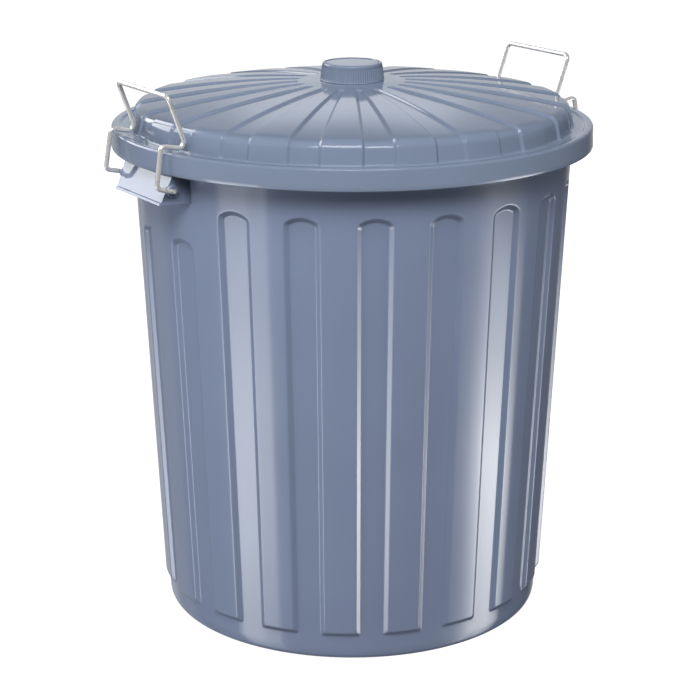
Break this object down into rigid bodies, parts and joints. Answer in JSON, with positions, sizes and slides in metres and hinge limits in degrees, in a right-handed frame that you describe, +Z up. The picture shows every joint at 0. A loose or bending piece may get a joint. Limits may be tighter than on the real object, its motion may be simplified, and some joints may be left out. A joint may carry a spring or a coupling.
{
  "type": "lidded bin",
  "caption": "Round ribbed moulded bin with a domed wedge-patterned lid, a fluted knob and hinged wire handles that clip over the lid edge.",
  "frame": {"origin": "centre of the foot ring, on the ground", "axes": "+Z up; the wire handles stand on -X (left) and +X (right); -Y is a front between the handles"},
  "size_m": [0.519, 0.5, 0.581],
  "materials": {
    "body_plastic": "glossy blue-grey moulding",
    "lid_plastic": "glossy blue-grey moulding",
    "knob_plastic": "glossy blue-grey moulding",
    "wire_steel": "bright plated wire"
  },
  "bodies": {
    "bin": {"bin_body": "body_plastic"},
    "lid": {"lid": "lid_plastic", "lid_knob": "knob_plastic"},
    "left_wire": {"wire_handle_left": "wire_steel"},
    "right_wire": {"wire_handle_right": "wire_steel"}
  },
  "joints": [
    {"name": "left_handle_swing", "type": "hinge", "parent": "bin", "child": "left_wire", "pos_m": [-0.2375, 0, 0.4825], "axis": [0, -1, 0], "range_deg": [0, 138]},
    {"name": "right_handle_swing", "type": "hinge", "parent": "bin", "child": "right_wire", "pos_m": [0.2375, 0, 0.4825], "axis": [0, 1, 0], "range_deg": [0, 138]},
    {"name": "lid_lift", "type": "slide", "parent": "bin", "child": "lid", "axis": [0, 0, 1], "range_m": [0, 0.01324]}
  ],
  "couplings": [
    {"joint": "left_handle_swing", "follows": "lid_lift", "rad_per_m": 181.8},
    {"joint": "right_handle_swing", "follows": "lid_lift", "rad_per_m": 181.8}
  ]
}
